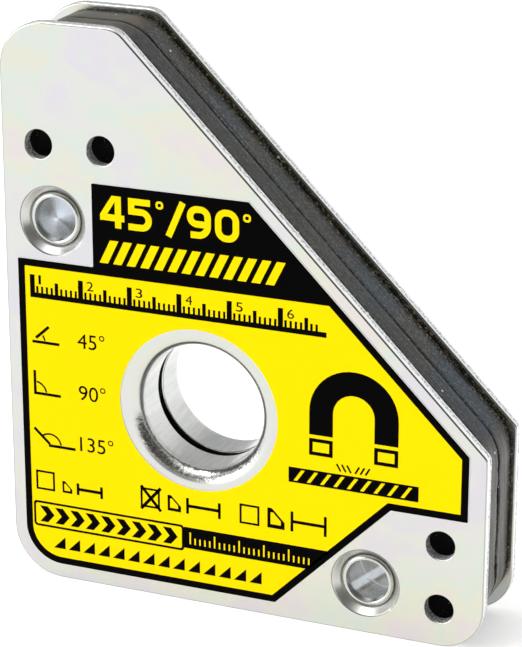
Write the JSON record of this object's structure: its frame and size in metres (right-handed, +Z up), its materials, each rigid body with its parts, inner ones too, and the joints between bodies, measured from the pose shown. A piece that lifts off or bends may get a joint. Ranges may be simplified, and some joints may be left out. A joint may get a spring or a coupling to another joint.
{
  "type": "magnetic welding square",
  "caption": "Flat five-sided magnetic square that holds metal parts at 45, 90 or 135 degrees for welding, with a drawn bore and small fixing holes.",
  "frame": {"origin": "under the middle of the box, on the surface that the bottom edges stand on", "axes": "+Z up along the left edge, +X to the right along the bottom edge, the labelled front plate faces -Y"},
  "size_m": [0.0952, 0.02, 0.1097],
  "materials": {
    "zinc_plate": "satin zinc plating",
    "rivet_steel": "turned bright steel",
    "magnet": "satin bonded ferrite",
    "label_vinyl": "printed yellow and black vinyl"
  },
  "bodies": {
    "root": {"front_plate": "zinc_plate", "back_plate": "zinc_plate", "front_magnet": "magnet", "back_magnet": "magnet", "rivet_upper": "rivet_steel", "rivet_lower": "rivet_steel", "front_label": "label_vinyl"}
  },
  "joints": []
}
